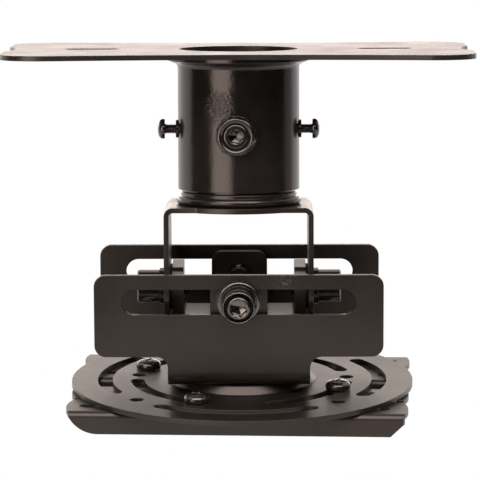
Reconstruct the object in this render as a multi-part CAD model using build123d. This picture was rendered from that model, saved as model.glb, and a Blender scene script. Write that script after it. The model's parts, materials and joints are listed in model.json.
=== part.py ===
from build123d import *
import math
import os

# Ceiling-hung projector mount. Millimetres and degrees.
# Origin: centre of the ceiling plate's top face. +Z is up, +Y points away from the front.

# Rest posture: the head is tipped nose down, and its disc is turned a little to the right
REST_PITCH = 5.8
DISC_TURN = -2.8

# Clearances
PIN_CLEAR = 0.1
SLIDE_GAP = 0.1
SLOT_CLEAR = 0.15
SWIVEL_CLEAR = 0.3
THREAD_CLEAR = 0.05

# Hexagons: the turn from a flat to a corner, and the slope of their turned-off ends
FLAT_TO_CORNER = 30.0
HEX_END_SLOPE = 30.0

# Ceiling plate
PLATE_LENGTH = 184.0
PLATE_DEPTH = 112.0
PLATE_WAIST = 98.0
PLATE_SHEET = 2.0
PLATE_CORNER = 16.0
PLATE_HOLE_D = 47.0
CEILING_SLOT_SPACING = 116.0
CEILING_SLOT_LENGTH = 21.6
CEILING_SLOT_WIDTH = 8.0
END_BITE_WIDTH = 36.0
END_BITE_DEPTH = 3.5

# Collar tube under the plate
TUBE_OD = 48.3
TUBE_WALL = 2.1
TUBE_LENGTH = 53.5
FLANGE_LIP = 3.85
FLANGE_SHEET = 2.5
FLANGE_CONE = 1.5
FLANGE_FILLET = 2.0
CLAMP_DROP = 31.0
LOCK_DROP = 29.8

# Clamp screw in the welded hex nut on the front of the tube
CLAMP_TURN = -1.9
CLAMP_THREAD_D = 10.0
CLAMP_NUT_FLATS = 14.0
CLAMP_NUT_TURN = -12.5
CLAMP_NUT_REACH = 6.0
CLAMP_NUT_FACE = 0.95
CLAMP_NUT_MOUTH = 0.7
CLAMP_SCREW_SUNK = 0.8
CLAMP_KEY_FLATS = 5.0
CLAMP_KEY_DEPTH = 5.0

# Lock screws on the left and right of the tube
LOCK_THREAD_D = 4.0
LOCK_HEAD_D = 8.0
LOCK_HEAD_HEIGHT = 2.8
LOCK_STANDOFF = 5.0
LOCK_NUT_D = 7.2
LOCK_NUT_REACH = 0.8

# Swivel plug: a ring under the tube, with a round bead at its foot, and a spigot up inside the tube
RING_GAP = 0.9
RING_OD = 46.2
RING_HEIGHT = 5.1
RING_CHAMFER = 0.4
BEAD_OD = 50.0
BEAD_HEIGHT = 3.4
BEAD_ROUND = 1.65
SPIGOT_WALL = 3.0
SPIGOT_HEIGHT = 38.0
GROOVE_DEPTH = 1.0
GROOVE_MARGIN = 1.5

# U bracket
BRACKET_SHEET = 2.0
BRACKET_BEND = 3.5
BRACKET_SIDE_CLEAR = 5.5
BRACKET_LOBE_R = 28.3
BRACKET_DROP = 33.3
LEG_BELOW_PIVOT = 11.0
LEG_CORNER = 10.0

# Gimbal cross
GIMBAL_WIDTH = 53.0
GIMBAL_DEPTH = 54.0
GIMBAL_PLATE = 4.5
GIMBAL_BEND = 6.0
GIMBAL_FLOOR_DROP = 9.6
EAR_WIDTH = 22.5
EAR_RISE = 9.3
EAR_CORNER = 4.0
FRICTION_SHEET = 0.9
FRICTION_OD = 18.0

# M8 hardware of the tilt and roll pivots
BOLT_D = 8.0
WASHER_OD = 16.6
WASHER_SHEET = 1.6
HEX_FLATS = 13.0
LOCK_NUT_HEX = 6.2
LOCK_NUT_COLLAR = 2.2
LOCK_NUT_COLLAR_D = 11.4
BOLT_TAIL = 1.6
CAP_HEAD_D = 13.0
TILT_HEAD_HEIGHT = 9.0
TILT_HEAD_ROUND = 0.9
ROLL_HEAD_HEIGHT = 8.0
COLLAR_ROUND = 0.45
COLLAR_GROOVE = 0.7
COLLAR_GROOVE_DEPTH = 1.0
BOSS_D = 9.2
BOSS_RISE = 1.0
BOSS_ROUND = 0.7
CAP_KEY_FLATS = 6.0
CAP_KEY_DEPTH = 4.0
SPRING_WASHER_OD = 14.4
SPRING_WASHER_HEIGHT = 2.0
SPRING_WASHER_SPLIT = 1.2
SPRING_WASHER_SLANT = 25.0
ROLL_SCREW_TAIL = 4.0
TILT_SCREW_TAIL = 2.0

# Yoke
YOKE_SHEET = 2.0
YOKE_BEND = 6.0
YOKE_WIDTH = 113.5
YOKE_RISE = 10.8
YOKE_SKIRT = 22.0
YOKE_CORNER = 4.6
YOKE_SLOT_LENGTH = 92.2
YOKE_SLOT_WIDTH = 10.1
NECK_WIDTH = 56.0
NECK_FILLET = 4.5
NECK_DROP = 12.3
PIVOT_X = 1.1

# Turntable disc
DISC_D = 136.8
DISC_SHEET = 2.0
HUB_RISE = 3.6
HUB_TOP_D = 54.0
HUB_SLOPE = 2.2
OUTER_ARC_R = 55.0
OUTER_ARC_WIDTH = 6.0
INNER_ARC_R = 42.0
INNER_ARC_WIDTH = 5.5
SIDE_ARC_FRONT = 26.5
SIDE_ARC_REAR = 34.5
FRONT_ARC_HALF = 32.0
REAR_ARC_HALF = 30.0
FRONT_INNER_START = 8.0
REAR_INNER_START = 21.5
INNER_END = 71.0
DISC_HOLE_D = 5.6
INNER_HOLE_ANGLE = 5.0
OUTER_HOLE_R = 54.0
OUTER_HOLE_FRONT = 43.0
OUTER_HOLE_REAR = 50.5
PIVOT_HEAD_D = 16.0
PIVOT_HEAD_SUNK = 0.6

# Projector arms and the screws that clamp them to the disc
ARM_LENGTH = 134.0
ARM_WIDTH = 20.0
ARM_SHEET = 2.0
ARM_BEND = 2.5
ARM_WALL = 8.8
ARM_END_BULGE = 2.0
ARM_TOE_LENGTH = 11.0
ARM_TOE_RISE = 6.3
ARM_CHAMFER_LENGTH = 4.8
ARM_CHAMFER_RISE = 4.6
CLAMP_SLOT_MARGIN = 8.0
CLAMP_SLOT_MIDDLE = 9.0
REACH_HOLE_MARGIN = 10.0
REACH_SLOT_MARGIN = 23.0
REACH_SLOT_MIDDLE = 14.0
ARM_SLOT_WIDTH = 5.5
ARM_SCREW_ANGLE = 68.0
ARM_SCREW_D = 5.0
ARM_HEAD_D = 10.0
ARM_HEAD_CLEAR = 0.3
ARM_WASHER_OD = 10.0
ARM_WASHER_SHEET = 1.0
ARM_NUT_FLATS = 8.0
ARM_NUT_HEIGHT = 4.0
ARM_SCREW_TAIL = 0.6

# Levels from the ceiling down
TUBE_TOP_Z = -PLATE_SHEET
TUBE_LOW_Z = TUBE_TOP_Z - TUBE_LENGTH
CLAMP_Z = TUBE_TOP_Z - CLAMP_DROP
LOCK_Z = TUBE_TOP_Z - LOCK_DROP
RING_TOP_Z = TUBE_LOW_Z - RING_GAP
BRACKET_TOP_Z = RING_TOP_Z - RING_HEIGHT
PIVOT_Z = BRACKET_TOP_Z - BRACKET_DROP

# Levels of the head, counted from the tilt and roll pivot
GIMBAL_LOW_Z = -GIMBAL_FLOOR_DROP - GIMBAL_PLATE
YOKE_BASE_Z = -YOKE_SKIRT - NECK_DROP
HUB_TOP_Z = YOKE_BASE_Z - SLIDE_GAP
DISC_TOP_Z = HUB_TOP_Z - HUB_RISE
DISC_LOW_Z = DISC_TOP_Z - DISC_SHEET
ARM_TOP_Z = DISC_LOW_Z - SLIDE_GAP
ARM_LOW_Z = ARM_TOP_Z - ARM_SHEET

# Radii and half widths that the pieces share
TUBE_R = TUBE_OD / 2
TUBE_BORE_R = TUBE_R - TUBE_WALL
SPIGOT_R = TUBE_BORE_R - SWIVEL_CLEAR
SPIGOT_BORE_R = SPIGOT_R - SPIGOT_WALL
GROOVE_R = SPIGOT_R - GROOVE_DEPTH
GROOVE_HEIGHT = CLAMP_THREAD_D + 2 * GROOVE_MARGIN
SCREW_TIP_R = GROOVE_R + SWIVEL_CLEAR
PIVOT_GAP = FRICTION_SHEET + SLIDE_GAP
LEG_INNER = GIMBAL_WIDTH / 2 + PIVOT_GAP
LEG_OUTER = LEG_INNER + BRACKET_SHEET
YOKE_INNER = GIMBAL_DEPTH / 2 + PIVOT_GAP
YOKE_OUTER = YOKE_INNER + YOKE_SHEET
BRACKET_DEPTH = 2 * (YOKE_INNER - BRACKET_SIDE_CLEAR)
PIVOT_HOLE_D = BOLT_D + 2 * PIN_CLEAR
SHOULDER_D = YOKE_SLOT_WIDTH - 2 * SLOT_CLEAR
SHOULDER_HOLE_D = SHOULDER_D + 2 * PIN_CLEAR


def rod(diameter, low, high):
    """Round bar along Z between two levels."""
    return Pos(0, 0, (low + high) / 2) * Cylinder(diameter / 2, high - low)


def ring(outer_d, inner_d, low, high):
    """Flat ring along Z between two levels."""
    return rod(outer_d, low, high) - rod(inner_d, low - 1, high + 1)


def hex_prism(flats, low, high, face=1.0):
    """Hexagon along Z with flats facing X, its ends turned off to a round face, a share of the flats wide."""
    corner_r = flats / math.sqrt(3)
    turn_off = corner_r - face * flats / 2
    blank = rod(2 * corner_r, low, high)
    end_height = turn_off * math.tan(math.radians(HEX_END_SLOPE))
    blank = chamfer(blank.edges().filter_by(GeomType.CIRCLE), end_height, turn_off)
    prism = extrude(Pos(0, 0, low) * RegularPolygon(corner_r, 6, rotation=FLAT_TO_CORNER), high - low)
    return prism & blank


def hex_socket(flats, mouth, floor):
    """Hexagon key hole along Z, from its mouth down to its floor."""
    return extrude(Pos(0, 0, floor) * RegularPolygon(flats / math.sqrt(3), 6), mouth - floor)


def pan_head(diameter, height, seat):
    """Domed screw head on a seat level, with a cross recess in its top."""
    rim = 0.3 * height
    shoulder = (diameter * 0.36, seat + 0.86 * height)
    side = Polyline((0, seat), (diameter / 2, seat), (diameter / 2, seat + rim))
    dome = ThreePointArc((diameter / 2, seat + rim), shoulder, (0, seat + height))
    axis_line = Line((0, seat + height), (0, seat))
    head = revolve(Plane.XZ * make_face([side, dome, axis_line]), Axis.Z)
    wing = Box(0.5 * diameter, 0.12 * diameter, height)
    recess = Pos(0, 0, seat + height) * (wing + Rot(0, 0, 90) * wing)
    return head - recess


def lock_nut(flats, seat, bore_d):
    """Hex lock nut on a seat level, with the round collar that holds its insert."""
    hex_top = seat + LOCK_NUT_HEX
    collar = rod(LOCK_NUT_COLLAR_D, hex_top - 1, hex_top + LOCK_NUT_COLLAR)
    collar = fillet(collar.edges().sort_by(Axis.Z)[-1], LOCK_NUT_COLLAR / 2)
    nut = hex_prism(flats, seat, hex_top) + collar
    return nut - rod(bore_d, seat - 1, hex_top + LOCK_NUT_COLLAR + 1)


def folded_u(half, floor, rim, sheet, bend):
    """Section of a sheet folded up, or down, at both sides of a floor."""
    rise = math.copysign(sheet, rim - floor)
    floor_row = 0 if rim > floor else -1
    outer = make_face(Polyline((-half, floor), (half, floor), (half, rim), (-half, rim), close=True))
    outer = fillet(outer.vertices().group_by(Axis.Y)[floor_row], bend)
    gap = half - sheet
    inner = make_face(Polyline((-gap, floor + rise), (gap, floor + rise), (gap, rim + rise),
                               (-gap, rim + rise), close=True))
    inner = fillet(inner.vertices().group_by(Axis.Y)[floor_row], bend - sheet)
    return outer - inner


def ear_outline(half, low, high, corner, corner_row):
    """Upright panel outline with one row of its corners rounded: 0 for the lower, -1 for the upper."""
    panel = make_face(Polyline((-half, low), (half, low), (half, high), (-half, high), close=True))
    return fillet(panel.vertices().group_by(Axis.Y)[corner_row], corner)


def across(sketch, plane, half):
    """Solid made by pushing a sketch both ways from an upright plane."""
    return extrude(plane * sketch, half, both=True)


def ceiling_plate():
    """Flat sheet with a waisted outline, a bite in each end, two slots and the cable hole."""
    half_l = PLATE_LENGTH / 2
    corner_x = half_l - PLATE_CORNER
    step = PLATE_WAIST / 2 - (PLATE_DEPTH / 2 - PLATE_CORNER)
    waist_r = (corner_x ** 2 + step ** 2 - PLATE_CORNER ** 2) / (2 * (PLATE_CORNER - step))
    bite_r = ((END_BITE_WIDTH / 2) ** 2 + END_BITE_DEPTH ** 2) / (2 * END_BITE_DEPTH)
    outline = Rectangle(PLATE_LENGTH, PLATE_DEPTH + 2 * PLATE_CORNER)
    for side in (-1, 1):
        outline -= Pos(0, side * (PLATE_WAIST / 2 + waist_r)) * Circle(waist_r)
    outline = fillet(outline.vertices(), PLATE_CORNER)
    for side in (-1, 1):
        outline -= Pos(side * (half_l - END_BITE_DEPTH + bite_r), 0) * Circle(bite_r)
        slot = SlotOverall(CEILING_SLOT_LENGTH, CEILING_SLOT_WIDTH)
        outline -= Pos(side * CEILING_SLOT_SPACING / 2, 0) * slot
    outline -= Circle(PLATE_HOLE_D / 2)
    return extrude(outline, -PLATE_SHEET)


def on_tube_front(piece):
    """Turn a piece from the Z axis to the front of the tube, at the height of the clamp."""
    return Pos(0, 0, CLAMP_Z) * Rot(0, 0, CLAMP_TURN) * Rot(90, 0, 0) * piece


def on_tube_side(piece, side):
    """Turn a piece from the Z axis to the left (-1) or right (1) of the tube, at the lock screws' height."""
    return Pos(0, 0, LOCK_Z) * Rot(0, 90 * side, 0) * piece


def tube_blank():
    """Solid cylinder of the tube's outside, for pieces that are coped to it."""
    return rod(TUBE_OD, TUBE_LOW_Z, 0)


def collar_tube():
    """Tube with a flared flange, drilled for the clamp screw and the two lock screws."""
    flange_r = TUBE_R + FLANGE_LIP
    flange_low = TUBE_TOP_Z - FLANGE_SHEET
    cone_low = flange_low - FLANGE_CONE
    section = make_face(Polyline((TUBE_BORE_R, TUBE_TOP_Z), (flange_r, TUBE_TOP_Z), (flange_r, flange_low),
                                 (TUBE_R, cone_low), (TUBE_R, TUBE_LOW_Z), (TUBE_BORE_R, TUBE_LOW_Z),
                                 close=True))
    inner_corner = section.vertices().sort_by_distance((TUBE_R, cone_low))[0]
    section = fillet(inner_corner, FLANGE_FILLET)
    tube = revolve(Plane.XZ * section, Axis.Z)
    tube -= on_tube_front(rod(CLAMP_THREAD_D + 2 * PIN_CLEAR, 0, TUBE_OD))
    for side in (-1, 1):
        tube -= on_tube_side(rod(LOCK_THREAD_D + 2 * PIN_CLEAR, 0, TUBE_OD), side)
    return tube


def clamp_weld_nut():
    """Hex nut welded to the tube, a corner near each side, its inner face coped to the round wall."""
    face = TUBE_R + CLAMP_NUT_REACH
    thread_r = CLAMP_THREAD_D / 2 + THREAD_CLEAR
    mouth = Cone(thread_r, thread_r + CLAMP_NUT_MOUTH, CLAMP_NUT_MOUTH)
    turn = FLAT_TO_CORNER + CLAMP_NUT_TURN
    nut = Rot(0, 0, turn) * hex_prism(CLAMP_NUT_FLATS, 0, face, CLAMP_NUT_FACE)
    nut -= rod(2 * thread_r, -1, TUBE_OD)
    nut -= Pos(0, 0, face - CLAMP_NUT_MOUTH / 2) * mouth
    return on_tube_front(nut) - tube_blank()


def clamp_set_screw():
    """Socket set screw in the clamp nut, its tip just off the spigot."""
    outer = TUBE_R + CLAMP_NUT_REACH - CLAMP_SCREW_SUNK
    screw = rod(CLAMP_THREAD_D, SCREW_TIP_R, outer)
    screw = chamfer(screw.edges().filter_by(GeomType.CIRCLE), 0.08 * CLAMP_THREAD_D)
    return on_tube_front(screw - hex_socket(CLAMP_KEY_FLATS, outer, outer - CLAMP_KEY_DEPTH))


def lock_weld_nuts():
    """Two small round weld nuts, one on each side of the tube."""
    nut = ring(LOCK_NUT_D, LOCK_THREAD_D + 2 * THREAD_CLEAR, 0, TUBE_R + LOCK_NUT_REACH)
    return Compound([on_tube_side(nut, side).solid() - tube_blank() for side in (-1, 1)])


def lock_screw(side):
    """Pan-head lock screw, backed out from the tube, its tip in the spigot's groove."""
    seat = TUBE_R + LOCK_STANDOFF
    screw = rod(LOCK_THREAD_D, SCREW_TIP_R, seat) + pan_head(LOCK_HEAD_D, LOCK_HEAD_HEIGHT, seat)
    return on_tube_side(screw, side)


def swivel_plug():
    """Beaded ring under the tube and grooved spigot inside it, bored through for the cable."""
    bead = rod(BEAD_OD, BRACKET_TOP_Z, BRACKET_TOP_Z + BEAD_HEIGHT)
    bead = fillet(bead.edges().filter_by(GeomType.CIRCLE), BEAD_ROUND)
    plug_ring = rod(RING_OD, BRACKET_TOP_Z, RING_TOP_Z)
    plug_ring = chamfer(plug_ring.edges().sort_by(Axis.Z)[-1], RING_CHAMFER)
    plug = bead + plug_ring + rod(2 * SPIGOT_R, BRACKET_TOP_Z, RING_TOP_Z + SPIGOT_HEIGHT)
    groove_low = CLAMP_Z - GROOVE_HEIGHT / 2
    plug -= ring(2 * SPIGOT_R + 2, 2 * GROOVE_R, groove_low, groove_low + GROOVE_HEIGHT)
    return plug - rod(2 * SPIGOT_BORE_R, BRACKET_TOP_Z - 1, 0)


def u_bracket():
    """Strap folded down at both sides, with a round lobe that carries the swivel plug."""
    leg_low = PIVOT_Z - LEG_BELOW_PIVOT
    section = folded_u(LEG_OUTER, BRACKET_TOP_Z, leg_low, BRACKET_SHEET, BRACKET_BEND)
    strap = across(section, Plane.XZ, BRACKET_DEPTH / 2)
    legs = ear_outline(BRACKET_DEPTH / 2, leg_low, BRACKET_TOP_Z, LEG_CORNER, 0)
    strap &= across(legs, Plane.YZ, PLATE_LENGTH)
    strap += rod(2 * BRACKET_LOBE_R, BRACKET_TOP_Z - BRACKET_SHEET, BRACKET_TOP_Z) & across(
        Pos(0, BRACKET_TOP_Z) * Rectangle(2 * (LEG_OUTER - BRACKET_BEND), 2 * BRACKET_LOBE_R),
        Plane.XZ, BRACKET_LOBE_R)
    strap -= rod(2 * SPIGOT_BORE_R, BRACKET_TOP_Z - BRACKET_LOBE_R / 2, 0)
    return strap - Pos(0, 0, PIVOT_Z) * Rot(0, 90, 0) * rod(PIVOT_HOLE_D, -PLATE_LENGTH, PLATE_LENGTH)


def gimbal_cross():
    """Thick cross folded up on four sides: side ears for the tilt, front and rear ears for the roll."""
    ears = ear_outline(EAR_WIDTH / 2, GIMBAL_LOW_Z, EAR_RISE, EAR_CORNER, -1)
    sides = folded_u(GIMBAL_WIDTH / 2, GIMBAL_LOW_Z, EAR_RISE, GIMBAL_PLATE, GIMBAL_BEND)
    fronts = folded_u(GIMBAL_DEPTH / 2, GIMBAL_LOW_Z, EAR_RISE, GIMBAL_PLATE, GIMBAL_BEND)
    cross = across(sides, Plane.XZ, EAR_WIDTH / 2) & across(ears, Plane.YZ, GIMBAL_WIDTH)
    cross += across(fronts, Plane.YZ, EAR_WIDTH / 2) & across(ears, Plane.XZ, GIMBAL_DEPTH)
    bore = rod(PIVOT_HOLE_D, -GIMBAL_DEPTH, GIMBAL_DEPTH)
    return cross - Rot(0, 90, 0) * bore - Rot(90, 0, 0) * bore


def friction_washer(ear_face, bore_d):
    """Thin washer lying on the outside of an ear."""
    return ring(FRICTION_OD, bore_d, ear_face, ear_face + FRICTION_SHEET)


TILT_SEAT = LEG_OUTER + SLIDE_GAP
TILT_HEAD_SEAT = TILT_SEAT + SPRING_WASHER_HEIGHT
ROLL_SEAT = YOKE_OUTER + SLIDE_GAP
ROLL_SPRING_SEAT = ROLL_SEAT + WASHER_SHEET
ROLL_HEAD_SEAT = ROLL_SPRING_SEAT + SPRING_WASHER_HEIGHT


def rounded_bar(diameter, low, high, rounding):
    """Round bar along Z with a rounded upper rim."""
    bar = rod(diameter, low, high)
    return fillet(bar.edges().sort_by(Axis.Z)[-1], rounding)


def cap_screw(head, seat, top, tail):
    """Screw along Z: a key socket in its head, and its thread from the seat down to a tail level."""
    head -= hex_socket(CAP_KEY_FLATS, top, top - CAP_KEY_DEPTH)
    thread = rod(BOLT_D, tail, seat)
    return head + chamfer(thread.edges().sort_by(Axis.Z)[0], 0.1 * BOLT_D)


def spring_washer(seat):
    """Split spring washer on a seat level, under a screw's head."""
    washer = ring(SPRING_WASHER_OD, PIVOT_HOLE_D, seat, seat + SPRING_WASHER_HEIGHT)
    split = Box(SPRING_WASHER_OD, SPRING_WASHER_SPLIT, 4 * SPRING_WASHER_HEIGHT)
    return washer - Pos(SPRING_WASHER_OD / 2, 0, seat) * Rot(SPRING_WASHER_SLANT, 0, 0) * split


def tilt_screw():
    """Socket-head screw through a leg of the bracket into a tapped side ear."""
    top = TILT_HEAD_SEAT + TILT_HEAD_HEIGHT
    head = rounded_bar(CAP_HEAD_D, TILT_HEAD_SEAT, top, TILT_HEAD_ROUND)
    return cap_screw(head, TILT_HEAD_SEAT, top, GIMBAL_WIDTH / 2 - GIMBAL_PLATE - TILT_SCREW_TAIL)


def roll_screw():
    """Shoulder screw with a boss over a grooved collar: the shoulder runs in the yoke's slot."""
    top = ROLL_HEAD_SEAT + ROLL_HEAD_HEIGHT
    collar_top = top - BOSS_RISE
    head = rounded_bar(CAP_HEAD_D, ROLL_HEAD_SEAT, collar_top, COLLAR_ROUND)
    head -= ring(BOSS_D + 2 * COLLAR_GROOVE, BOSS_D, collar_top - COLLAR_GROOVE_DEPTH, top)
    head += rounded_bar(BOSS_D, ROLL_HEAD_SEAT, top, BOSS_ROUND)
    screw = cap_screw(head, ROLL_HEAD_SEAT, top, GIMBAL_DEPTH / 2 - GIMBAL_PLATE - ROLL_SCREW_TAIL)
    return screw + rod(SHOULDER_D, GIMBAL_DEPTH / 2 + SLIDE_GAP, ROLL_SPRING_SEAT)


def roll_washer():
    """Flat washer on the outside of a yoke plate."""
    return ring(WASHER_OD, SHOULDER_HOLE_D, ROLL_SEAT, ROLL_SPRING_SEAT)


def yoke():
    """Sheet folded up twice: slotted plates front and rear, a narrower neck, and a base."""
    section = folded_u(YOKE_OUTER, YOKE_BASE_Z, YOKE_RISE, YOKE_SHEET, YOKE_BEND)
    plate_height = YOKE_RISE + YOKE_SKIRT
    plate = Pos(0, YOKE_RISE - plate_height / 2) * RectangleRounded(YOKE_WIDTH, plate_height, YOKE_CORNER)
    neck_low = YOKE_BASE_Z - YOKE_SHEET
    neck = Pos(0, neck_low / 2) * Rectangle(NECK_WIDTH, -neck_low)
    outline = plate + neck
    throats = outline.vertices().filter_by(
        lambda v: abs(abs(v.X) - NECK_WIDTH / 2) < 0.01 and abs(v.Y + YOKE_SKIRT) < 0.01)
    outline = fillet(throats, NECK_FILLET)
    outline -= SlotOverall(YOKE_SLOT_LENGTH, YOKE_SLOT_WIDTH)
    sheet = across(section, Plane.YZ, YOKE_WIDTH) & across(outline, Plane.XZ, 2 * YOKE_OUTER)
    return sheet - Pos(PIVOT_X, 0, 0) * rod(PIVOT_HOLE_D, 2 * YOKE_BASE_Z, 0)


PIVOT_NUT_SEAT = YOKE_BASE_Z + YOKE_SHEET + SLIDE_GAP + WASHER_SHEET


def pivot_bolt():
    """Low-headed centre bolt, its head sunk in the hollow under the disc's hub."""
    head_top = HUB_TOP_Z - DISC_SHEET
    head_low = DISC_LOW_Z + PIVOT_HEAD_SUNK
    head = rod(PIVOT_HEAD_D, head_low, head_top)
    head = fillet(head.edges().sort_by(Axis.Z)[0], (head_top - head_low) / 3)
    shank = rod(BOLT_D, head_top - 1, PIVOT_NUT_SEAT + LOCK_NUT_HEX + LOCK_NUT_COLLAR + BOLT_TAIL)
    return head + chamfer(shank.edges().sort_by(Axis.Z)[-1], 0.1 * BOLT_D)


def pivot_washer():
    """Flat washer on the yoke's base."""
    return ring(WASHER_OD, BOLT_D + 2 * PIN_CLEAR, PIVOT_NUT_SEAT - WASHER_SHEET, PIVOT_NUT_SEAT)


def pivot_lock_nut():
    """Lock nut on the centre bolt."""
    return lock_nut(HEX_FLATS, PIVOT_NUT_SEAT, BOLT_D + 2 * THREAD_CLEAR)


def arc_slot(radius, width, start, end):
    """Curved slot about the disc's centre between two angles."""
    return SlotArc(CenterArc((0, 0), radius, start, end - start), width)


def on_circle(radius, angle, sketch):
    """Place a sketch on a circle about the disc's centre."""
    spot = math.radians(angle)
    return Pos(radius * math.cos(spot), radius * math.sin(spot)) * sketch


def turntable_disc():
    """Pressed disc with a raised hub, outer and inner arc slots, and round holes."""
    hub_r = HUB_TOP_D / 2
    foot_r = hub_r + HUB_SLOPE
    skew = DISC_SHEET * HUB_SLOPE / (HUB_RISE + HUB_SLOPE)
    section = make_face(Polyline(
        (0, HUB_TOP_Z), (hub_r, HUB_TOP_Z), (foot_r, DISC_TOP_Z), (DISC_D / 2, DISC_TOP_Z),
        (DISC_D / 2, DISC_LOW_Z), (foot_r - skew, DISC_LOW_Z), (hub_r - skew, HUB_TOP_Z - DISC_SHEET),
        (0, HUB_TOP_Z - DISC_SHEET), close=True))
    creases = section.vertices().filter_by(lambda v: hub_r - skew - 0.01 < v.X < foot_r + 0.01)
    section = fillet(creases, HUB_SLOPE / 2)
    disc = revolve(Plane.XZ * section, Axis.Z)
    cuts = [arc_slot(OUTER_ARC_R, OUTER_ARC_WIDTH, 270 - FRONT_ARC_HALF, 270 + FRONT_ARC_HALF),
            arc_slot(OUTER_ARC_R, OUTER_ARC_WIDTH, 90 - REAR_ARC_HALF, 90 + REAR_ARC_HALF),
            arc_slot(OUTER_ARC_R, OUTER_ARC_WIDTH, -SIDE_ARC_FRONT, SIDE_ARC_REAR),
            arc_slot(OUTER_ARC_R, OUTER_ARC_WIDTH, 180 - SIDE_ARC_REAR, 180 + SIDE_ARC_FRONT),
            arc_slot(INNER_ARC_R, INNER_ARC_WIDTH, REAR_INNER_START, INNER_END),
            arc_slot(INNER_ARC_R, INNER_ARC_WIDTH, 180 - INNER_END, 180 - REAR_INNER_START),
            arc_slot(INNER_ARC_R, INNER_ARC_WIDTH, 180 + FRONT_INNER_START, 180 + INNER_END),
            arc_slot(INNER_ARC_R, INNER_ARC_WIDTH, -INNER_END, -FRONT_INNER_START)]
    hole = Circle(DISC_HOLE_D / 2)
    for angle in (INNER_HOLE_ANGLE, 180 - INNER_HOLE_ANGLE):
        cuts.append(on_circle(INNER_ARC_R, angle, hole))
    for angle in (-OUTER_HOLE_FRONT, 180 + OUTER_HOLE_FRONT, OUTER_HOLE_REAR, 180 - OUTER_HOLE_REAR):
        cuts.append(on_circle(OUTER_HOLE_R, angle, hole))
    for cut in cuts:
        disc -= extrude(Pos(0, 0, DISC_LOW_Z - 1) * cut, DISC_SHEET + 2)
    return disc - rod(PIVOT_HOLE_D, DISC_LOW_Z, 0)


def slot_between(start, end):
    """Straight slot along an arm's centre line, between the centres of its round ends."""
    return Pos((start + end) / 2, 0) * SlotCenterToCenter(end - start, ARM_SLOT_WIDTH)


def projector_arm():
    """L-section strip: clamp slot in one half, projector slot and hole in the other, wall on the -Y edge."""
    half_l = ARM_LENGTH / 2
    half_w = ARM_WIDTH / 2
    end_x = half_l - ARM_END_BULGE
    section = make_face(Polyline((-half_w, 0), (half_w, 0), (half_w, -ARM_SHEET),
                                 (ARM_SHEET - half_w, -ARM_SHEET), (ARM_SHEET - half_w, -ARM_WALL),
                                 (-half_w, -ARM_WALL), close=True))
    section = fillet(section.vertices().sort_by_distance((-half_w, 0))[0], ARM_BEND)
    inside = section.vertices().sort_by_distance((ARM_SHEET - half_w, -ARM_SHEET))[0]
    section = fillet(inside, ARM_BEND - ARM_SHEET)
    plan = make_face([
        Line((-end_x, -half_w), (end_x, -half_w)),
        ThreePointArc((end_x, -half_w), (half_l, 0), (end_x, half_w)),
        Line((end_x, half_w), (-end_x, half_w)),
        ThreePointArc((-end_x, half_w), (-half_l, 0), (-end_x, -half_w))])
    plan -= slot_between(CLAMP_SLOT_MARGIN - half_l, -CLAMP_SLOT_MIDDLE)
    plan -= slot_between(REACH_SLOT_MIDDLE, half_l - REACH_SLOT_MARGIN)
    plan -= Pos(half_l - REACH_HOLE_MARGIN, 0) * Circle(ARM_SLOT_WIDTH / 2)
    toe = (-end_x, ARM_TOE_RISE - ARM_WALL)
    heel = (ARM_TOE_LENGTH - end_x, -ARM_WALL)
    front = make_face([
        Polyline(toe, (-half_l, toe[1]), (-half_l, 1), (half_l, 1), (half_l, ARM_CHAMFER_RISE - ARM_WALL),
                 (end_x, ARM_CHAMFER_RISE - ARM_WALL), (end_x - ARM_CHAMFER_LENGTH, -ARM_WALL), heel),
        TangentArc(heel, toe, tangent=(-1, 0))])
    arm = across(section, Plane.YZ, half_l)
    return arm & extrude(plan, 2 * ARM_WALL, both=True) & across(front, Plane.XZ, ARM_WIDTH)


ARM_NUT_TOP = ARM_LOW_Z - ARM_WASHER_SHEET


def arm_screw():
    """Pan-head screw down through the disc and an arm, low enough to pass under the yoke."""
    head = pan_head(ARM_HEAD_D, HUB_RISE - ARM_HEAD_CLEAR, DISC_TOP_Z)
    return head + rod(ARM_SCREW_D, ARM_NUT_TOP - ARM_NUT_HEIGHT - ARM_SCREW_TAIL, DISC_TOP_Z)


def arm_washer():
    """Flat washer under an arm."""
    return ring(ARM_WASHER_OD, ARM_SCREW_D + 2 * PIN_CLEAR, ARM_NUT_TOP, ARM_LOW_Z)


def arm_nut():
    """Hex nut under an arm."""
    nut = hex_prism(ARM_NUT_FLATS, ARM_NUT_TOP - ARM_NUT_HEIGHT, ARM_NUT_TOP)
    return nut - rod(ARM_SCREW_D + 2 * THREAD_CLEAR, 2 * ARM_NUT_TOP, 0)


# Assembly: ceiling side, bracket, tilted head, and turned disc
head = Pos(0, 0, PIVOT_Z) * Rot(REST_PITCH, 0, 0)
pivot = head * Pos(PIVOT_X, 0, 0)
table = pivot * Rot(0, 0, DISC_TURN)
left = head * Rot(0, -90, 0)
right = head * Rot(0, 90, 0)
front = head * Rot(90, 0, 0)
rear = head * Rot(-90, 0, 0)

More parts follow.
